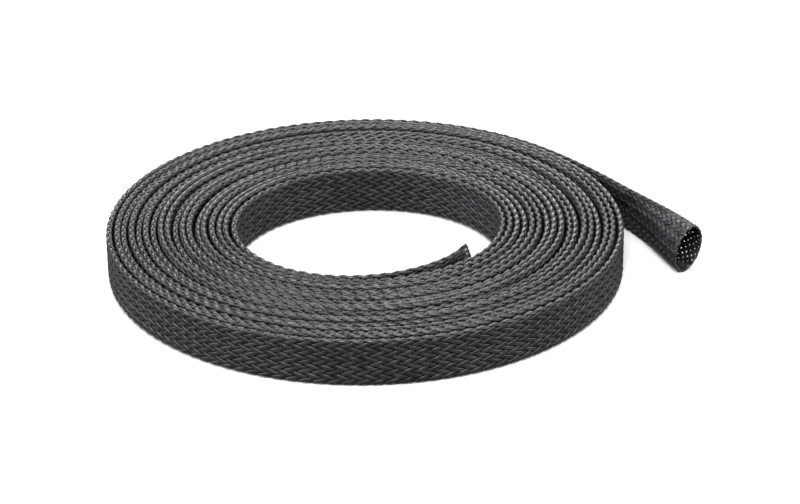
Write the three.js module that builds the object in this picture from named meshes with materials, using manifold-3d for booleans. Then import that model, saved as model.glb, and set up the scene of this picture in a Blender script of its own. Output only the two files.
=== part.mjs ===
// Braided cable sleeve: one length of flat-laid braided sleeving, wound on edge into an open coil.
// Millimetres and degrees, +Z up. The coil lies on its lower rim, and its outer end runs off along -Y and
// stands open. Places along the sleeve are given by the angle wound inwards since it met the coil.
import * as THREE from 'three';
import Module from 'manifold-3d';

// The sleeve as it lies flat
const flatWidth = 10.9;
const flatThickness = 1.5;

// The winding: its turns, their pitch, and the angle at which the outer end meets the coil
const turns = 17.785;
const turnPitch = 1.744;
const boreRadius = 28.59;
const coilRadius = boreRadius + flatThickness + turns * turnPitch;
const meetingAngle = 21.4;
const fullTurn = 360;
const stepsPerTurn = 40;
const crestWidth = 0.7;
const grooveDepth = flatThickness / 2;

// Hand winding is not round: how far each edge of the winding is shifted and ovalled, and towards where
const coilShift = 0.77;
const coilShiftAngle = 91.7;
const coilOval = 0.54;
const coilOvalAngle = 84.3;
const boreShift = 0.49;
const boreShiftAngle = 148.2;
const boreOval = 0.61;
const boreOvalAngle = 159.8;

// How high each turn stands, as a share of the tallest, half a turn apart from just before the coil begins
const tallestLift = 1;
const firstLiftAngle = -46;
const liftShares = [
  0, 0.2, 0.2, 0.5, 0.6, 0, 0.5, 0.8, 0, 0.1, 0.6, 0.8, 1, 0.3, 0.2, 1, 0, 0.9,
  0.8, 0, 0.8, 0.7, 0.3, 0.7, 0.6, 0, 0.7, 0.5, 0.3, 0.6, 0.5, 0.4, 0.7, 0.4, 0.5, 0.2, 0.2,
];

// The outer end: the angle that it spans, how far it strays from the coil, and how late it turns away
const tailSweepAngle = 50.5;
const tailReach = 14.1;
const tailCurlPower = 2.35;
const tailClearAngle = 18;
const tailSteps = 24;
const mouthWidth = 6.8;
const mouthHeight = 11.4;
const mouthLean = 2.4;
const mouthWall = 0.5;
const flareLength = 30;
const cavityLength = 20;

// The inner end: the angle over which it leaves the turn before it, how far it then stands off, and the
// height that its cut end rises
const tipSweepAngle = 100;
const tipReach = 3.05;
const tipClearAngle = 18;
const tipRise = 0.5;
const tipRiseAngle = 8;
const tipSteps = 20;

// Sides of a section across the sleeve
const sectionSides = 16;
const flatSquareness = 0.3;
const mouthSquareness = 1.15;

const wasm = await Module();
wasm.setup();

// A closed skin of triangles as a solid for boolean work
function toSolid(vertices, triangles) {
  return new wasm.Manifold(new wasm.Mesh({
    numProp: 3,
    vertProperties: new Float32Array(vertices),
    triVerts: new Uint32Array(triangles),
  }));
}

function toGeometry(solid) {
  const mesh = solid.getMesh();
  const geometry = new THREE.BufferGeometry();
  geometry.setAttribute('position', new THREE.BufferAttribute(new Float32Array(mesh.vertProperties), 3));
  geometry.setIndex(new THREE.BufferAttribute(new Uint32Array(mesh.triVerts), 1));
  return geometry;
}

// A mean radius with the shift and the oval that the winding gives it at an angle round the coil
function unevenRadius(mean, shift, shiftAngle, oval, ovalAngle, angle) {
  const shifted = shift * Math.cos(THREE.MathUtils.degToRad(angle - shiftAngle));
  const ovalled = oval * Math.cos(THREE.MathUtils.degToRad(2 * (angle - ovalAngle)));
  return mean + shifted + ovalled;
}

// Distance of the sleeve's middle from the coil's middle; a negative angle is on the outer end
function layRadius(wound) {
  const angle = meetingAngle + wound;
  const coilEdge = unevenRadius(coilRadius, coilShift, coilShiftAngle, coilOval, coilOvalAngle, angle);
  const boreEdge = unevenRadius(boreRadius, boreShift, boreShiftAngle, boreOval, boreOvalAngle, angle);
  const share = Math.max(wound, 0) / (turns * fullTurn);
  const wind = THREE.MathUtils.lerp(coilEdge - flatThickness / 2, boreEdge + flatThickness / 2, share);
  const strayed = Math.max(-wound, 0) / tailSweepAngle;
  const loose = THREE.MathUtils.smoothstep(wound, turns * fullTurn - tipSweepAngle, turns * fullTurn);
  return wind + tailReach * strayed ** tailCurlPower - tipReach * loose;
}

// How far the upper fold of the sleeve stands above its flat width on the floor
function liftAt(wound) {
  const station = Math.max((wound - firstLiftAngle) / (fullTurn / 2), 0);
  const before = Math.min(Math.floor(station), liftShares.length - 1);
  const after = Math.min(before + 1, liftShares.length - 1);
  const eased = THREE.MathUtils.smoothstep(station - before, 0, 1);
  const atTip = THREE.MathUtils.smoothstep(wound, turns * fullTurn - tipRiseAngle, turns * fullTurn);
  return tallestLift * THREE.MathUtils.lerp(liftShares[before], liftShares[after], eased) + tipRise * atTip;
}

function placeAt(wound, radius, height) {
  const angle = THREE.MathUtils.degToRad(meetingAngle + wound);
  return [radius * Math.cos(angle), radius * Math.sin(angle), height];
}

// The wound turns as one solid, a spiral band whose rims have a crest on each turn and a groove between
function coilBand() {
  const stepAngle = fullTurn / stepsPerTurn;
  const firstStep = -Math.round(tailClearAngle / stepAngle);
  const lastStep = Math.floor((turns * fullTurn - tipSweepAngle) / stepAngle);
  const vertices = [];
  const triangles = [];
  const corner = (wound, radius, height) => vertices.push(...placeAt(wound, radius, height)) / 3 - 1;
  const quad = (a, b, c, d) => triangles.push(a, b, c, a, c, d);

  // Step by step, the groove outside each turn, below the lower of its two crests; beyond the last turn it
  // is the edge of the bore's wall
  const grooves = [];
  for (let step = firstStep; step <= lastStep + stepsPerTurn; step += 1) {
    const wound = step * stepAngle;
    const hasOuter = step - stepsPerTurn >= firstStep;
    const hasInner = step <= lastStep;
    const outerFace = layRadius(wound - fullTurn) - flatThickness / 2;
    const innerFace = layRadius(wound) + flatThickness / 2;
    let radius = (outerFace + innerFace) / 2;
    if (!hasOuter) radius = innerFace;
    if (!hasInner) radius = outerFace;
    const outerLift = hasOuter ? liftAt(wound - fullTurn) : Infinity;
    const innerLift = hasInner ? liftAt(wound) : Infinity;
    grooves.push([
      corner(wound, radius, grooveDepth),
      corner(wound, radius, flatWidth - grooveDepth + Math.min(outerLift, innerLift)),
    ]);
  }

  // Step by step, the four corners of the two crests of the sleeve
  const crests = [];
  for (let step = firstStep; step <= lastStep; step += 1) {
    const wound = step * stepAngle;
    const radius = layRadius(wound);
    const top = flatWidth + liftAt(wound);
    crests.push([
      corner(wound, radius + crestWidth / 2, 0),
      corner(wound, radius - crestWidth / 2, 0),
      corner(wound, radius + crestWidth / 2, top),
      corner(wound, radius - crestWidth / 2, top),
    ]);
  }

  // The section of the sleeve at a step, from its outer groove over its crest to its inner groove
  const lowerLine = (i) => [grooves[i][0], crests[i][0], crests[i][1], grooves[i + stepsPerTurn][0]];
  const upperLine = (i) => [grooves[i][1], crests[i][2], crests[i][3], grooves[i + stepsPerTurn][1]];
  const last = crests.length - 1;
  for (let i = 0; i < last; i += 1) {
    for (let side = 0; side < 3; side += 1) {
      const [lower, lowerNext] = [lowerLine(i), lowerLine(i + 1)];
      const [upper, upperNext] = [upperLine(i), upperLine(i + 1)];
      quad(lower[side], lower[side + 1], lowerNext[side + 1], lowerNext[side]);
      quad(upper[side], upperNext[side], upperNext[side + 1], upper[side + 1]);
    }
  }
  for (let i = 0; i < stepsPerTurn; i += 1) {
    const [outer, outerNext] = [grooves[i], grooves[i + 1]];
    const [inner, innerNext] = [grooves[last + i], grooves[last + i + 1]];
    quad(outer[0], outerNext[0], outerNext[1], outer[1]);
    quad(inner[0], inner[1], innerNext[1], innerNext[0]);
  }
  for (let side = 0; side < 3; side += 1) {
    const [startLower, startUpper] = [lowerLine(0), upperLine(0)];
    const [endLower, endUpper] = [lowerLine(last), upperLine(last)];
    quad(startLower[side], startUpper[side], startUpper[side + 1], startLower[side + 1]);
    quad(endLower[side], endLower[side + 1], endUpper[side + 1], endUpper[side]);
  }
  return toSolid(vertices, triangles);
}

// The path of the sleeve's middle on the floor, between two angles wound
function layPath(from, to, steps) {
  const points = [];
  for (let step = 0; step <= steps; step += 1) {
    const wound = THREE.MathUtils.lerp(from, to, step / steps);
    points.push(new THREE.Vector3(...placeAt(wound, layRadius(wound), 0)));
  }
  return new THREE.CatmullRomCurve3(points);
}

// A section across the sleeve standing on its edge: flat and square-sided, or opened and leaning outwards
function sleeveSection(width, height, openness) {
  const power = THREE.MathUtils.lerp(flatSquareness, mouthSquareness, openness);
  const points = [];
  for (let i = 0; i < sectionSides; i += 1) {
    const turn = (i / sectionSides) * 2 * Math.PI;
    const cosine = Math.cos(turn);
    const across = Math.sign(cosine) * Math.abs(cosine) ** power * width / 2;
    const lean = openness * mouthLean * Math.sin(turn) / 2;
    points.push(new THREE.Vector2(across - lean, (1 + Math.sin(turn)) * height / 2));
  }
  return points;
}

// A solid through sections that stand square to a level path between two lengths along it
function sweep(path, from, to, steps, sectionAt) {
  const length = path.getLength();
  const vertices = [];
  const triangles = [];
  for (let step = 0; step <= steps; step += 1) {
    const along = THREE.MathUtils.lerp(from, to, step / steps);
    const place = path.getPointAt(Math.min(along / length, 1));
    const forward = path.getTangentAt(Math.min(along / length, 1));
    place.addScaledVector(forward, Math.max(along - length, 0));
    for (const point of sectionAt(along)) {
      vertices.push(place.x + forward.y * point.x, place.y - forward.x * point.x, point.y);
    }
  }
  for (let step = 0; step < steps; step += 1) {
    for (let i = 0; i < sectionSides; i += 1) {
      const next = (i + 1) % sectionSides;
      const a = step * sectionSides + i;
      const b = step * sectionSides + next;
      triangles.push(a, a + sectionSides, b, b, a + sectionSides, b + sectionSides);
    }
  }
  const last = steps * sectionSides;
  for (let i = 1; i < sectionSides - 1; i += 1) {
    triangles.push(0, i, i + 1, last, last + i + 1, last + i);
  }
  return toSolid(vertices, triangles);
}

// The outer end, flat where it leaves the coil and opening to its cut mouth
function openTail() {
  const path = layPath(tailClearAngle / 2, -tailSweepAngle, tailSteps / 2);
  const length = path.getLength();
  const openAt = (along) => THREE.MathUtils.smoothstep(along, length - flareLength, length);
  const outside = sweep(path, 0, length, tailSteps, (along) => {
    const open = openAt(along);
    const width = THREE.MathUtils.lerp(flatThickness, mouthWidth, open);
    const height = THREE.MathUtils.lerp(flatWidth, mouthHeight, open);
    return sleeveSection(width, height, open);
  });
  const cavityStart = length - cavityLength;
  const inside = sweep(path, cavityStart, length + mouthWall, tailSteps / 3, (along) => {
    const open = openAt(Math.min(along, length));
    const width = THREE.MathUtils.lerp(flatThickness, mouthWidth, open) - 2 * mouthWall;
    const height = THREE.MathUtils.lerp(flatWidth, mouthHeight, open) - 2 * mouthWall;
    return sleeveSection(width, height, open).map((point) => point.add(new THREE.Vector2(0, mouthWall)));
  });
  return outside.subtract(inside);
}

// The inner end, flat all along and standing off the turn before it
function looseTip() {
  const lastWound = turns * fullTurn;
  const firstWound = lastWound - tipSweepAngle - tipClearAngle;
  const path = layPath(lastWound, firstWound, tipSteps);
  const length = path.getLength();
  return sweep(path, 0, length, tipSteps, (along) => {
    const wound = THREE.MathUtils.lerp(lastWound, firstWound, along / length);
    return sleeveSection(flatThickness, flatWidth + liftAt(wound), 0);
  });
}

// The whole sleeve as one solid, with the middle of its underside at the origin
function braidedSleeve() {
  const geometry = toGeometry(coilBand().add(openTail()).add(looseTip()));
  geometry.computeBoundingBox();
  const middle = geometry.boundingBox.getCenter(new THREE.Vector3());
  geometry.translate(-middle.x, -middle.y, -geometry.boundingBox.min.z);
  geometry.computeVertexNormals();
  const braid = new THREE.MeshStandardMaterial({ color: 0x33363a, roughness: 0.5, metalness: 0 });
  const mesh = new THREE.Mesh(geometry, braid);
  mesh.name = 'braided_sleeve';
  return mesh;
}

const part = new THREE.Group();
part.add(braidedSleeve());

export default part;
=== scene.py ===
"""A length of black braided cable sleeve, flattened and wound on edge into an open coil."""

import math

import bpy
from mathutils import Matrix, Vector


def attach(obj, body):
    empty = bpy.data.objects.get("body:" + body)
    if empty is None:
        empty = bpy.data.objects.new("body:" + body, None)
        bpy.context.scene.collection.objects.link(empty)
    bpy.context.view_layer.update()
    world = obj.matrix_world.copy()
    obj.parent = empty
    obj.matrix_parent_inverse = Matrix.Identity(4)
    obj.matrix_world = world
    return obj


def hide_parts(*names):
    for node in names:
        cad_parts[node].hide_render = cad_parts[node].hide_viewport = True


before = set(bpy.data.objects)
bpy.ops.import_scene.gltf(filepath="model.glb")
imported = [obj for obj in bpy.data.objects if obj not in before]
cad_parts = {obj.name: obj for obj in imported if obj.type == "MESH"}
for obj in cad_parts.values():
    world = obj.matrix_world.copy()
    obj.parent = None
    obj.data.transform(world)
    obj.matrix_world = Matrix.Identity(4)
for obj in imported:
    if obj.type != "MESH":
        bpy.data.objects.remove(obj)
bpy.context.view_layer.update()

# The lay of the sleeve: one length of flattened braid wound on edge by hand, from the open outer end
# round and round inwards to the tip in the bore. The winding is a little oval, and its turns stand higher
# or lower and turn their folds one way or the other, because nothing but the winding holds them.
coil_middle = Vector((-0.004119, -0.001204, 0))
flat_width = 0.0109
flat_thickness = 0.0015
turn_count = 17.785
turn_pitch = 0.001744
bore_radius = 0.02859
coil_radius = bore_radius + flat_thickness + turn_count * turn_pitch
meeting_angle = math.radians(21.4)

coil_shift = 0.00077
coil_shift_angle = math.radians(91.7)
coil_oval = 0.00054
coil_oval_angle = math.radians(84.3)
bore_shift = 0.00049
bore_shift_angle = math.radians(148.2)
bore_oval = 0.00061
bore_oval_angle = math.radians(159.8)

# The tail runs off the coil outwards from the meeting angle, and the cut tip stands a little off the bore.
tail_sweep = math.radians(50.5)
tail_reach = 0.0141
tail_curl = 2.35
tip_sweep = math.radians(100)
tip_reach = 0.00305
tip_rise = 0.0005

# The winding strays from an even spiral by two waves along the sleeve, once the coil has begun.
settling_angle = math.radians(40)
slow_wander = 0.00012
slow_wander_rate = 0.37
slow_wander_start = 1.3
quick_wander = 0.00008
quick_wander_rate = 1.43

# Half a turn apart, from just before the coil begins: how high a turn stands, as a share of the tallest,
# and how far round the sleeve its fold has drifted, counted in crossings of the braid.
first_station = math.radians(-46)
tallest_lift = 0.001
lift_shares = (
    0, 0.2, 0.2, 0.5, 0.6, 0, 0.5, 0.8, 0, 0.1, 0.6, 0.8, 1, 0.3, 0.2, 1, 0, 0.9,
    0.8, 0, 0.8, 0.7, 0.3, 0.7, 0.6, 0, 0.7, 0.5, 0.3, 0.6, 0.5, 0.4, 0.7, 0.4, 0.5, 0.2, 0.2,
)
fold_drifts = (
    0.5, 0.5, -0.5, 0.5, 0.5, 0.5, 0.5, 0.5, -0.5, 0.5, 0.5, 0.5, 0.5, 0.5, -0.5, 1.5, 0.5, 1.5,
    -0.5, 0.5, -0.5, 1.5, -0.5, 0.5, 0.5, 1.5, 0.5, 1.5, -0.5, 0.5, -0.5, 1.5, 0.5, 1.5, 0.5, 0.5, 0.5,
)

strand_radius = 0.000135
arch_height = 0.00015
arch_depth = 0.00024
core_half_width = flat_width / 2 - arch_height - strand_radius
core_half_thickness = flat_thickness / 2 - arch_height - strand_radius


def uneven_radius(mean, shift, shift_angle, oval, oval_angle, angle):
    """A mean radius with the shift and the oval that the winding gives it at an angle round the coil."""
    return mean + shift * math.cos(angle - shift_angle) + oval * math.cos(2 * (angle - oval_angle))


def ease(share):
    """A share from 0 to 1 with a soft start and a soft end."""
    kept = min(max(share, 0), 1)
    return kept * kept * (3 - 2 * kept)


def lay_radius(wound):
    """Distance of the sleeve's middle from the coil's middle, after an angle wound inwards from the tail."""
    angle = meeting_angle + wound
    coil_edge = uneven_radius(coil_radius, coil_shift, coil_shift_angle, coil_oval, coil_oval_angle, angle)
    bore_edge = uneven_radius(bore_radius, bore_shift, bore_shift_angle, bore_oval, bore_oval_angle, angle)
    share = max(wound, 0) / (turn_count * math.tau)
    wind = (coil_edge - flat_thickness / 2) * (1 - share) + (bore_edge + flat_thickness / 2) * share
    tip_share = ease((wound - turn_count * math.tau) / tip_sweep + 1)
    return wind + tail_reach * (max(-wound, 0) / tail_sweep) ** tail_curl - tip_reach * tip_share


def at_half_turns(values, wound):
    """The value after an angle wound, eased between the stations half a turn apart."""
    station = max((wound - first_station) / math.pi, 0)
    before = min(int(station), len(values) - 1)
    after = min(before + 1, len(values) - 1)
    return values[before] + (values[after] - values[before]) * ease(station - before)


def lay_wander(wound):
    """How far the sleeve's middle strays from an even spiral, after an angle wound."""
    slow = slow_wander * math.sin(wound * slow_wander_rate + slow_wander_start)
    quick = quick_wander * math.sin(wound * quick_wander_rate)
    return ease(wound / settling_angle) * (slow + quick)


lay_step = math.radians(3)
tip_index = round((tail_sweep + turn_count * math.tau) / lay_step)
spare_steps = 4
lay_points = []
lay_drifts = []
for index in range(tip_index + spare_steps + 1):
    wound = -tail_sweep + index * lay_step
    angle = meeting_angle + wound
    radius = lay_radius(wound) + lay_wander(wound)
    lift = tallest_lift * at_half_turns(lift_shares, wound)
    middle = coil_middle + Vector((radius * math.cos(angle), radius * math.sin(angle), 0))
    lay_points.append((middle.x, middle.y, flat_width / 2 + lift))
    lay_drifts.append(at_half_turns(fold_drifts, wound))

lay_curve = bpy.data.curves.new("sleeve_lay", "CURVE")
lay_curve.dimensions = "3D"
lay_line = lay_curve.splines.new("POLY")
lay_line.points.add(len(lay_points) - 1)
for point, place, drift in zip(lay_line.points, lay_points, lay_drifts):
    point.co = (*place, 1)
    point.tilt = drift
sleeve_lay = bpy.data.objects.new("sleeve_lay", lay_curve)
bpy.context.scene.collection.objects.link(sleeve_lay)
lay_length = sum(math.dist(a, b) for a, b in zip(lay_points[:tip_index], lay_points[1:]))

# The braid of the sleeve: forty ends of tripled polyester monofilament, twenty each way round, each end
# passing over two and under two. Forty crossings go round the sleeve, and a float spans two of them.
ends_round = 40
braid_angle = math.radians(19.4)
core_round = 2 * math.pi * core_half_thickness + 4 * (core_half_width - core_half_thickness)
cross_round = core_round / ends_round
cross_along = cross_round / math.tan(braid_angle)

# Crossings are counted from this far along the tail, and lie closer together where the mouth is opened.
braid_start = 0.075
mouth_tightening = 0.0027


class NodeMaker:
    """Short names for the nodes of one tree, so that a formula reads as one line."""

    def __init__(self, tree):
        self.tree = tree

    def node(self, kind, inputs=(), **settings):
        made = self.tree.nodes.new(kind)
        for name, value in settings.items():
            setattr(made, name, value)
        for key, value in dict(inputs).items():
            self.feed(made.inputs[key], value)
        return made

    def feed(self, socket, value):
        if isinstance(value, bpy.types.NodeSocket):
            self.tree.links.new(value, socket)
        else:
            socket.default_value = value

    def math(self, operation, *values):
        return self.node("ShaderNodeMath", enumerate(values), operation=operation).outputs[0]


# The sleeve's two ends, by half sizes of the middle of the braid's wall: the mouth was pressed open into
# an upright lens that leans back, and the tip was cut a little aslant and stays nearly flat.
mouth_half_width = 0.0034 - 2 * strand_radius
mouth_half_height = 0.0057 - 2 * strand_radius
mouth_lean = 0.0012
mouth_sharpness = 1.15
flare_length = 0.030
tip_half_width = 0.0009
tip_half_height = core_half_width + tip_rise / 2
tip_flare_length = 0.006
tip_slant = 0.0025


def read_lay(make, lay, along):
    """Place, direction and fold drift of the lay at a length along the sleeve."""
    sampled = make.node("GeometryNodeSampleCurve", mode="LENGTH", data_type="FLOAT")
    make.feed(sampled.inputs["Curves"], lay)
    make.feed(sampled.inputs["Value"], make.node("GeometryNodeInputCurveTilt").outputs[0])
    make.feed(sampled.inputs["Length"], along)
    return sampled.outputs["Position"], sampled.outputs["Tangent"], sampled.outputs["Value"]


def length_at(make, count):
    """Length along the sleeve at a count of crossings, which lie closer together where the mouth is opened."""
    m = make.math
    toward_mouth = m("MINIMUM", count, 0)
    tightened = m("MULTIPLY", m("MULTIPLY", toward_mouth, toward_mouth), mouth_tightening)
    return m("ADD", m("MULTIPLY", m("ADD", count, tightened), cross_along), braid_start)


def flat_section(make, share, height):
    """Sideways and upward place on the flattened sleeve: two straight walls joined by round folds."""
    m = make.math
    fold = core_half_thickness
    quarter = math.pi * fold / 2
    straight = core_half_width - fold
    reach = m("MULTIPLY", m("ABSOLUTE", share), core_round)
    past_fold = m("SUBTRACT", reach, quarter)
    down = m("MINIMUM", m("MAXIMUM", past_fold, 0), 2 * straight)
    lower_fold = m("MAXIMUM", m("SUBTRACT", past_fold, 2 * straight), 0)
    bend = m("DIVIDE", m("ADD", m("MINIMUM", reach, quarter), lower_fold), fold)
    out = m("ADD", height, fold)
    side = m("MULTIPLY", m("MULTIPLY", out, m("SINE", bend)), m("SIGN", share))
    return side, m("ADD", m("MULTIPLY", out, m("COSINE", bend)), m("SUBTRACT", straight, down))


def open_section(make, share, height, half_width, half_height):
    """Sideways and upward place on the opened sleeve: a lens that still shows its two folds."""
    m = make.math
    circle = m("MULTIPLY", share, math.tau)
    sine = m("SINE", circle)
    lens = m("MULTIPLY", m("POWER", m("ABSOLUTE", sine), mouth_sharpness), m("SIGN", sine))
    side = m("MULTIPLY", lens, m("ADD", height, half_width))
    return side, m("MULTIPLY", m("COSINE", circle), m("ADD", height, half_height))


def wrap_round_sleeve(make, geometry, lay, drifts=True):
    """Lays a flat sheet of braid, counted in crossings, round the sleeve, standing on the floor."""
    m = make.math
    flat = make.node("ShaderNodeSeparateXYZ", {0: make.node("GeometryNodeInputPosition").outputs[0]})
    level_along = m("MINIMUM", length_at(make, flat.outputs[0]), lay_length)
    drift = read_lay(make, lay, level_along)[2]
    drifted = m("ADD", flat.outputs[1], drift) if drifts else flat.outputs[1]
    share = m("WRAP", m("DIVIDE", drifted, ends_round), 0.5, -0.5)
    soft = {"interpolation_type": "SMOOTHSTEP"}
    to_flare = m("SUBTRACT", flare_length, level_along)
    mouth_share = make.node("ShaderNodeMapRange", {0: to_flare, 2: flare_length}, **soft).outputs[0]
    tip_stretch = {0: level_along, 1: lay_length - tip_flare_length, 2: lay_length}
    tip_share = make.node("ShaderNodeMapRange", tip_stretch, **soft).outputs[0]
    from_top = m("SUBTRACT", 0.5, m("MULTIPLY", m("COSINE", m("MULTIPLY", share, math.tau)), 0.5))
    slanted = m("MULTIPLY", m("MULTIPLY", tip_share, from_top), tip_slant)
    place, tangent, drift = read_lay(make, lay, m("ADD", level_along, slanted))

    near_tip = m("GREATER_THAN", level_along, lay_length / 2)
    half_width = m("ADD", m("MULTIPLY", near_tip, tip_half_width - mouth_half_width), mouth_half_width)
    half_height = m("ADD", m("MULTIPLY", near_tip, tip_half_height - mouth_half_height), mouth_half_height)
    height = flat.outputs[2]
    flat_side, flat_up = flat_section(make, share, height)
    open_side, open_up = open_section(make, share, height, half_width, half_height)
    leaning = m("MULTIPLY", m("MULTIPLY", m("DIVIDE", open_up, mouth_half_height), mouth_share), mouth_lean)
    open_share = m("ADD", mouth_share, tip_share)
    side = m("ADD", flat_side, m("MULTIPLY", m("SUBTRACT", open_side, flat_side), open_share))
    up = m("ADD", flat_up, m("MULTIPLY", m("SUBTRACT", open_up, flat_up), open_share))
    risen = m("ADD", up, m("MULTIPLY", m("SUBTRACT", half_height, core_half_width), open_share))

    heading = make.node("ShaderNodeSeparateXYZ", {0: tangent})
    turned_back = m("MULTIPLY", heading.outputs[0], -1)
    level = make.node("ShaderNodeCombineXYZ", {0: heading.outputs[1], 1: turned_back})
    outward = make.node("ShaderNodeVectorMath", {0: level.outputs[0]}, operation="NORMALIZE").outputs[0]
    reach = {0: outward, "Scale": m("ADD", side, leaning)}
    sideways = make.node("ShaderNodeVectorMath", reach, operation="SCALE").outputs[0]
    upwards = make.node("ShaderNodeCombineXYZ", {2: risen}).outputs[0]
    across = make.node("ShaderNodeVectorMath", {0: sideways, 1: upwards}).outputs[0]
    wrapped = make.node("ShaderNodeVectorMath", {0: place, 1: across}).outputs[0]
    return make.node("GeometryNodeSetPosition", {"Geometry": geometry, "Position": wrapped}).outputs[0]


def new_tree(name, inputs):
    """An empty geometry tree with named number inputs, its maker and its two ends."""
    tree = bpy.data.node_groups.new(name, "GeometryNodeTree")
    tree.interface.new_socket("Geometry", in_out="INPUT", socket_type="NodeSocketGeometry")
    for label in inputs:
        tree.interface.new_socket(label, in_out="INPUT", socket_type="NodeSocketFloat")
    tree.interface.new_socket("Geometry", in_out="OUTPUT", socket_type="NodeSocketGeometry")
    make = NodeMaker(tree)
    return tree, make, make.node("NodeGroupInput"), make.node("NodeGroupOutput")


def bake(name, tree, settings):
    """Runs a tree with its settings and keeps the result as a plain mesh object."""
    carrier = bpy.data.objects.new(name + "_carrier", bpy.data.meshes.new(name + "_carrier"))
    bpy.context.scene.collection.objects.link(carrier)
    nodes = carrier.modifiers.new("Braid", "NODES")
    nodes.node_group = tree
    for item in tree.interface.items_tree:
        if item.in_out == "INPUT" and item.name in settings:
            nodes[item.identifier] = settings[item.name]
    evaluated = carrier.evaluated_get(bpy.context.evaluated_depsgraph_get())
    mesh = bpy.data.meshes.new_from_object(evaluated)
    mesh.name = name
    bpy.data.objects.remove(carrier)
    piece = bpy.data.objects.new(name, mesh)
    bpy.context.scene.collection.objects.link(piece)
    return piece


def fit_piece(piece):
    """Every piece belongs to the one sleeve, which never moves in itself."""
    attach(piece, "root")
    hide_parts("braided_sleeve")


# The monofilament: drawn black polyester, smooth and a little glossy, paler where it has been rubbed.
strand_black = (0.011, 0.012, 0.0135, 1)
strand_grey = (0.036, 0.039, 0.043, 1)

monofilament = bpy.data.materials.new("black_monofilament")
monofilament.use_nodes = True
thread = NodeMaker(monofilament.node_tree)
gloss = monofilament.node_tree.nodes["Principled BSDF"]
gloss.inputs["IOR"].default_value = 1.57
thread_place = thread.node("ShaderNodeTexCoord").outputs["Object"]
tone = thread.node("ShaderNodeTexNoise", {"Vector": thread_place, "Scale": 420.0, "Detail": 2.0})
shade = thread.node("ShaderNodeValToRGB", {0: tone.outputs[0]})
shade.color_ramp.elements[0].position = 0.35
shade.color_ramp.elements[0].color = strand_black
shade.color_ramp.elements[1].position = 0.65
shade.color_ramp.elements[1].color = strand_grey
thread.feed(gloss.inputs["Base Color"], shade.outputs[0])
smear = thread.node("ShaderNodeTexNoise", {"Vector": thread_place, "Scale": 900.0, "Detail": 2.0})
polish = thread.node("ShaderNodeMapRange", {0: smear.outputs[0], 1: 0.3, 2: 0.7, 3: 0.32, 4: 0.44})
thread.feed(gloss.inputs["Roughness"], polish.outputs[0])

# The floats of the coiled braid: each end shows as three monofilaments lying side by side, arched over
# two crossing ends and tucked under the next. They run one way in one row and the other way in the next.
float_stations = (-1.15, -0.6, 0.0, 0.6, 1.15)
outer_heights = (-arch_depth, 0.35 * arch_height, arch_height, 0.35 * arch_height, -arch_depth)
inner_heights = (0.0, 0.6 * arch_height, arch_height, 0.6 * arch_height, 0.0)
float_across = (-3.0, -2.0, -1.0, 0.0, 1.0, 2.0, 3.0)
float_crown = (-1.0, 1.0, 0.1, 1.0, 0.1, 1.0, -1.0)


def float_mesh(name, lean, heights, face):
    """One float in braid space, rising or falling, with its face outside or inside the sleeve."""
    vertices = []
    for station, lift in zip(float_stations, heights):
        for across, crown in zip(float_across, float_crown):
            sideways = across * strand_radius
            u = station - sideways * math.sin(braid_angle) / cross_along
            v = station + sideways * math.cos(braid_angle) / cross_round
            vertices.append((u, v * lean, face * (lift + strand_radius * crown)))
    faces = []
    width = len(float_across)
    for row in range(len(float_stations) - 1):
        for column in range(width - 1):
            a = row * width + column
            square = (a, a + width, a + width + 1, a + 1)
            faces.append(square if lean * face < 0 else square[::-1])
    mesh = bpy.data.meshes.new(name)
    mesh.from_pydata(vertices, [], faces)
    piece = bpy.data.objects.new(name, mesh)
    bpy.context.scene.collection.objects.link(piece)
    return piece


rising_float = float_mesh("rising_float", 1, outer_heights, 1)
falling_float = float_mesh("falling_float", -1, outer_heights, 1)
rising_inside = float_mesh("rising_inside", 1, inner_heights, -1)
falling_inside = float_mesh("falling_inside", -1, inner_heights, -1)

reaches = ("Upper reach", "Lower reach", "Outside until", "Outside from", "Inside from")


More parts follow.
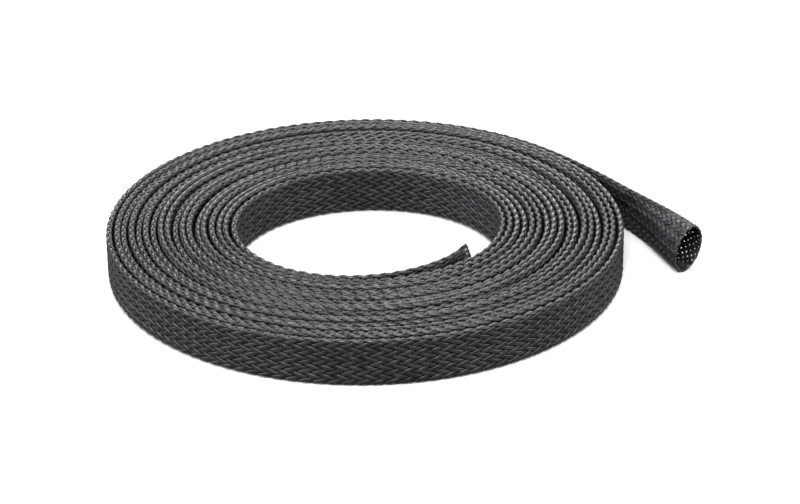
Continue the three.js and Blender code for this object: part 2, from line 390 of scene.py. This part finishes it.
def float_tree(name, even_float, odd_float, even_start, odd_start):
    """Rows of floats round the sleeve, one kind in the even rows and the other in the odd rows."""
    tree, make, given, result = new_tree(name, ("First pair", "Pairs") + reaches)
    m = make.math
    lay = make.node("GeometryNodeObjectInfo", {0: sleeve_lay}).outputs["Geometry"]
    rows = ends_round // 2
    count = m("MULTIPLY", given.outputs["Pairs"], rows)
    number = make.node("GeometryNodeInputIndex").outputs[0]
    row = m("FLOORED_MODULO", number, rows)
    pair = m("ADD", m("FLOOR", m("DIVIDE", number, rows)), given.outputs["First pair"])
    odd = m("FLOORED_MODULO", row, 2)
    start = m("ADD", m("MULTIPLY", odd, odd_start - even_start), even_start)
    spot_u = m("ADD", m("MULTIPLY", pair, 2), start)
    spot_v = m("ADD", m("MULTIPLY", row, 2), 0.5)
    spot = make.node("ShaderNodeCombineXYZ", {0: spot_u, 1: spot_v}).outputs[0]
    spots = make.node("GeometryNodePoints", {"Count": count, "Position": spot}).outputs[0]

    flat = make.node("ShaderNodeSeparateXYZ", {0: make.node("GeometryNodeInputPosition").outputs[0]})
    along = length_at(make, flat.outputs[0])
    drifted = m("ADD", flat.outputs[1], read_lay(make, lay, along)[2])
    share = m("WRAP", m("DIVIDE", drifted, ends_round), 0.5, -0.5)
    from_top = m("ABSOLUTE", share)
    below = m("GREATER_THAN", from_top, given.outputs["Upper reach"])
    above = m("LESS_THAN", from_top, m("SUBTRACT", 0.5, given.outputs["Lower reach"]))
    past = m("GREATER_THAN", along, given.outputs["Outside until"])
    before = m("LESS_THAN", along, given.outputs["Outside from"])
    outer_covered = m("MULTIPLY", m("GREATER_THAN", share, 0), m("MULTIPLY", past, before))
    before_inside = m("LESS_THAN", along, given.outputs["Inside from"])
    inner_covered = m("MULTIPLY", m("LESS_THAN", share, 0), before_inside)
    covered = m("MULTIPLY", m("MULTIPLY", below, above), m("MAXIMUM", outer_covered, inner_covered))
    kept = make.node("GeometryNodeDeleteGeometry", {"Geometry": spots, "Selection": covered}, domain="POINT")

    row_number = m("DIVIDE", m("SUBTRACT", flat.outputs[1], 0.5), 2)
    in_odd_row = m("GREATER_THAN", m("FLOORED_MODULO", row_number, 2), 0.5)
    both = make.node("GeometryNodeJoinGeometry")
    for model, chosen in ((even_float, m("SUBTRACT", 1, in_odd_row)), (odd_float, in_odd_row)):
        pattern = make.node("GeometryNodeObjectInfo", {0: model}).outputs["Geometry"]
        placed = {"Points": kept.outputs[0], "Selection": chosen, "Instance": pattern}
        make.tree.links.new(make.node("GeometryNodeInstanceOnPoints", placed).outputs[0], both.inputs[0])
    real = make.node("GeometryNodeRealizeInstances", {0: both.outputs[0]}).outputs[0]
    wrapped = wrap_round_sleeve(make, real, lay)
    smooth = make.node("GeometryNodeSetShadeSmooth", {"Geometry": wrapped}).outputs[0]
    finish = make.node("GeometryNodeSetMaterial", {"Geometry": smooth, "Material": monofilament}).outputs[0]
    make.feed(result.inputs[0], finish)
    return tree


outer_braid = float_tree("outer braid", rising_float, falling_float, 0.5, 1.5)
inner_braid = float_tree("inner braid", falling_inside, rising_inside, 1.5, 0.5)

# Floats are laid all round on the outer turn's outside, the inner turn's inside and the loose tip, and
# elsewhere only near the upper and the lower fold, as shares of the way round from its middle.
upper_reach = 0.105
lower_reach = 0.07
outer_turn_length = 0.46
inner_turn_length = 0.30
loose_tip_length = 0.055
pair_length = 2 * cross_along
pair_total = math.ceil((lay_length - braid_start) / pair_length)
stretch_count = 5
stretch_pairs = math.ceil(pair_total / stretch_count)
for stretch in range(stretch_count):
    first = stretch * stretch_pairs
    settings = {
        "First pair": float(first),
        "Pairs": float(min(stretch_pairs, pair_total - first)),
        "Upper reach": upper_reach,
        "Lower reach": lower_reach,
        "Outside until": outer_turn_length,
        "Outside from": lay_length - loose_tip_length,
        "Inside from": lay_length - inner_turn_length,
    }
    fit_piece(bake(f"coil_strands_{stretch + 1}", outer_braid, settings))

# The depth of the braid: under the floats the other set of ends passes across, dark between them.
crossing_shadow = (0.003, 0.0032, 0.0035, 1)
crossing_end = (0.010, 0.011, 0.012, 1)
filament_half_width = 0.27
end_half_width = 2 * filament_half_width

under_braid = bpy.data.materials.new("crossing_ends")
under_braid.use_nodes = True
weave = NodeMaker(under_braid.node_tree)
w = weave.math
dull = under_braid.node_tree.nodes["Principled BSDF"]
dull.inputs["Roughness"].default_value = 0.6
dull.inputs["Specular IOR Level"].default_value = 0.2
braid_map = weave.node("ShaderNodeUVMap", uv_map="UVMap").outputs[0]
counted = weave.node("ShaderNodeSeparateXYZ", {0: braid_map})
crossing_u, crossing_v = counted.outputs[0], counted.outputs[1]
in_row = w("FLOORED_MODULO", w("ADD", crossing_v, 0.5), 4)
rising_on_top = w("LESS_THAN", in_row, 2)
rising = w("SUBTRACT", crossing_v, crossing_u)
falling_line = w("ADD", crossing_v, crossing_u)
falling_under = w("MULTIPLY", falling_line, rising_on_top)
rising_under = w("MULTIPLY", rising, w("SUBTRACT", 1, rising_on_top))
under = w("ADD", falling_under, rising_under)
filament = w("PINGPONG", w("ADD", under, filament_half_width), filament_half_width)
from_end = w("PINGPONG", under, 1)
on_end = w("LESS_THAN", from_end, end_half_width)
crown = w("MULTIPLY", on_end, filament)
cross_tint = weave.node("ShaderNodeMixRGB", {0: on_end, 1: crossing_shadow, 2: crossing_end}).outputs[0]
weave.feed(dull.inputs["Base Color"], cross_tint)
relief = weave.node("ShaderNodeBump", {"Height": crown, "Distance": 0.0003, "Strength": 0.6})
weave.feed(dull.inputs["Normal"], relief.outputs[0])

core_start = -38.0
core_end = (lay_length - tip_flare_length - braid_start) / cross_along
core_step = 2.5
core_depth = 0.75 * arch_depth
seam_gap = 0.00001

core_tree, make, given, result = new_tree("sleeve core", ("From", "Until"))
m = make.math
lay = make.node("GeometryNodeObjectInfo", {0: sleeve_lay}).outputs["Geometry"]
steps = m("ROUND", m("DIVIDE", m("SUBTRACT", given.outputs["Until"], given.outputs["From"]), core_step))
sheet = make.node("GeometryNodeMeshGrid", {
    "Size X": m("SUBTRACT", given.outputs["Until"], given.outputs["From"]),
    "Size Y": float(ends_round),
    "Vertices X": m("ADD", steps, 1),
    "Vertices Y": ends_round + 1,
})
shift = make.node("ShaderNodeCombineXYZ", {
    0: m("MULTIPLY", m("ADD", given.outputs["Until"], given.outputs["From"]), 0.5),
    1: ends_round / 2,
    2: -core_depth,
})
shifted = {"Geometry": sheet.outputs[0], "Offset": shift.outputs[0]}
moved = make.node("GeometryNodeSetPosition", shifted).outputs[0]
flat = make.node("ShaderNodeSeparateXYZ", {0: make.node("GeometryNodeInputPosition").outputs[0]})
drift = read_lay(make, lay, length_at(make, flat.outputs[0]))[2]
undrifted = m("SUBTRACT", flat.outputs[1], drift)
counts = make.node("ShaderNodeCombineXYZ", {0: flat.outputs[0], 1: undrifted}).outputs[0]
stored = {"Geometry": moved, "Name": "UVMap", "Value": counts}
mapping = {"data_type": "FLOAT2", "domain": "CORNER"}
mapped = make.node("GeometryNodeStoreNamedAttribute", stored, **mapping).outputs[0]
wrapped = wrap_round_sleeve(make, mapped, lay, drifts=False)
closed = make.node("GeometryNodeMergeByDistance", {"Geometry": wrapped, "Distance": seam_gap}).outputs[0]
smooth = make.node("GeometryNodeSetShadeSmooth", {"Geometry": closed}).outputs[0]
finish = make.node("GeometryNodeSetMaterial", {"Geometry": smooth, "Material": under_braid}).outputs[0]
make.feed(result.inputs[0], finish)
fit_piece(bake("coil_core", core_tree, {"From": core_start, "Until": core_end}))

# The two free ends: nothing lies behind the braid there, so its inside is woven too, and a little daylight
# shows between the filaments where the sleeve is opened.
mouth_end = (math.sqrt(1 - 4 * mouth_tightening * braid_start / cross_along) - 1) / (2 * mouth_tightening)
tail_pairs = math.ceil(-mouth_end / 2) + 1
tip_end = (lay_length - braid_start) / cross_along
whole = {"Upper reach": 0.5, "Lower reach": 0.5}
tail = {"First pair": float(-tail_pairs), "Pairs": float(tail_pairs), **whole}
fit_piece(bake("tail_strands", outer_braid, tail))
fit_piece(bake("tail_strands_inside", inner_braid, tail))
tip_pairs = 5
tip = {"First pair": float(pair_total - tip_pairs), "Pairs": float(tip_pairs), **whole}
fit_piece(bake("tip_strands_inside", inner_braid, tip))

# The cut rims: a hot knife cut the sleeve at both ends and fused its filaments into a rough greyish bead.
bead_radius = 0.0002
bead_points = 90
fray_length = 1.6
fray_height = 0.0009
fused_grey = (0.085, 0.088, 0.092, 1)
fused_black = (0.018, 0.019, 0.021, 1)

fused = bpy.data.materials.new("fused_polyester")
fused.use_nodes = True
bead = NodeMaker(fused.node_tree)
crust = fused.node_tree.nodes["Principled BSDF"]
crust.inputs["Roughness"].default_value = 0.5
bead_place = bead.node("ShaderNodeTexCoord").outputs["Object"]
mottle = bead.node("ShaderNodeTexNoise", {"Vector": bead_place, "Scale": 1400.0, "Detail": 3.0})
patches = bead.node("ShaderNodeValToRGB", {0: mottle.outputs[0]})
patches.color_ramp.elements[0].position = 0.4
patches.color_ramp.elements[0].color = fused_black
patches.color_ramp.elements[1].position = 0.62
patches.color_ramp.elements[1].color = fused_grey
bead.feed(crust.inputs["Base Color"], patches.outputs[0])
pits = bead.node("ShaderNodeBump", {"Height": mottle.outputs[0], "Distance": 0.0002, "Strength": 0.8})
bead.feed(crust.inputs["Normal"], pits.outputs[0])

rim_tree, make, given, result = new_tree("sleeve rim", ("At",))
m = make.math
lay = make.node("GeometryNodeObjectInfo", {0: sleeve_lay}).outputs["Geometry"]
rim_start = make.node("ShaderNodeCombineXYZ", {0: given.outputs["At"]}).outputs[0]
last_point = ends_round * (bead_points - 1) / bead_points
rim_stop = make.node("ShaderNodeCombineXYZ", {0: given.outputs["At"], 1: last_point}).outputs[0]
line = make.node("GeometryNodeCurvePrimitiveLine", {"Start": rim_start, "End": rim_stop}).outputs[0]
dense = make.node("GeometryNodeResampleCurve", {"Curve": line, "Count": bead_points}).outputs[0]
frays = make.node("ShaderNodeTexNoise", {"Scale": 0.9, "Detail": 2.0}).outputs["Color"]
frayed = make.node("ShaderNodeVectorMath", {0: frays, 1: (0.5, 0.5, 0.5)}, operation="SUBTRACT").outputs[0]
fray_reach = {0: frayed, 1: (fray_length, 0.0, fray_height)}
fraying = make.node("ShaderNodeVectorMath", fray_reach, operation="MULTIPLY").outputs[0]
rough = make.node("GeometryNodeSetPosition", {"Geometry": dense, "Offset": fraying}).outputs[0]
wrapped = wrap_round_sleeve(make, rough, lay)
closed = make.node("GeometryNodeSetSplineCyclic", {"Geometry": wrapped, "Cyclic": True}).outputs[0]
lumps = make.node("ShaderNodeTexNoise", {"Scale": 900.0, "Detail": 1.0})
thickness = make.node("ShaderNodeMapRange", {0: lumps.outputs[0], 1: 0.3, 2: 0.7, 3: 0.7, 4: 1.5}).outputs[0]
lumpy = make.node("GeometryNodeSetCurveRadius", {"Curve": closed, "Radius": thickness}).outputs[0]
profile = make.node("GeometryNodeCurvePrimitiveCircle", {"Resolution": 8, "Radius": bead_radius})
tubes = make.node("GeometryNodeCurveToMesh", {"Curve": lumpy, "Profile Curve": profile.outputs[0]})
smooth = make.node("GeometryNodeSetShadeSmooth", {"Geometry": tubes.outputs[0]}).outputs[0]
finish = make.node("GeometryNodeSetMaterial", {"Geometry": smooth, "Material": fused}).outputs[0]
make.feed(result.inputs[0], finish)
fit_piece(bake("mouth_rim", rim_tree, {"At": mouth_end}))
fit_piece(bake("tip_rim", rim_tree, {"At": tip_end}))

# The single floats and the lay were only patterns, so they don't stay in the scene.
for helper in (rising_float, falling_float, rising_inside, falling_inside, sleeve_lay):
    bpy.data.objects.remove(helper)

# The studio: a seamless white ground lit by broad soft boxes, as for a catalogue picture.
floor_size = 6.0
floor_mesh = bpy.data.meshes.new("floor")
half = floor_size / 2
floor_corners = [(-half, -half, 0), (half, -half, 0), (half, half, 0), (-half, half, 0)]
floor_mesh.from_pydata(floor_corners, [], [(0, 1, 2, 3)])
floor = bpy.data.objects.new("floor", floor_mesh)
bpy.context.scene.collection.objects.link(floor)
floor_paint = bpy.data.materials.new("white_ground")
floor_paint.use_nodes = True
ground = floor_paint.node_tree.nodes["Principled BSDF"]
ground.inputs["Base Color"].default_value = (0.93, 0.93, 0.93, 1)
ground.inputs["Roughness"].default_value = 0.9
floor_mesh.materials.append(floor_paint)
floor.visible_diffuse = False
floor.visible_glossy = False

world = bpy.data.worlds.new("studio")
bpy.context.scene.world = world
world.use_nodes = True
world.node_tree.nodes["Background"].inputs[0].default_value = (1, 1, 1, 1)
world.node_tree.nodes["Background"].inputs[1].default_value = 0.35

photo_turn = Matrix.Rotation(math.radians(-24.563), 4, "Z")


def soft_box(name, place, target, size, power):
    """A square soft box of a size in metres and a power in watts, facing its target from its place."""
    light = bpy.data.lights.new(name, "AREA")
    light.size = size
    light.energy = power
    lamp = bpy.data.objects.new(name, light)
    lamp.location = coil_middle + photo_turn @ Vector(place)
    facing = (coil_middle + photo_turn @ Vector(target)) - lamp.location
    lamp.rotation_euler = facing.to_track_quat("-Z", "Y").to_euler()
    bpy.context.scene.collection.objects.link(lamp)


soft_box("top_box", (0.0, 0.1, 0.9), (0, 0, 0), 0.8, 4.0)
soft_box("back_box", (0.0, 1.2, 0.6), (0, 0, 0), 1.2, 20.0)
soft_box("front_box", (0.0, -0.5, 0.75), (0, 0, 0), 0.4, 6.5)
soft_box("left_box", (-1.1, -0.2, 0.5), (0, 0, 0), 0.8, 11.0)
soft_box("right_box", (1.1, -0.2, 0.5), (0, 0, 0), 0.8, 8.0)

# The camera: a long lens a little above the coil, as in the photograph.
photo_width = 800
photo_focal = 2686.6
camera_distance = 0.6306
camera_elevation = math.radians(25.59)
camera_target = Vector((0.00726, 0.00654, 0))
camera_roll = math.radians(-0.81)
sensor = 36.0

camera_data = bpy.data.cameras.new("camera")
camera_data.sensor_width = sensor
camera_data.lens = photo_focal * sensor / photo_width
camera_data.clip_start = 0.01
camera = bpy.data.objects.new("camera", camera_data)
sight = Vector((0, math.cos(camera_elevation), -math.sin(camera_elevation)))
camera.location = coil_middle + photo_turn @ (camera_target - sight * camera_distance)
aim = (photo_turn @ sight).to_track_quat("-Z", "Y").to_matrix().to_4x4()
camera.rotation_euler = (aim @ Matrix.Rotation(camera_roll, 4, "Z")).to_euler()
bpy.context.scene.collection.objects.link(camera)
bpy.context.scene.camera = camera
bpy.context.scene.view_settings.view_transform = "Standard"
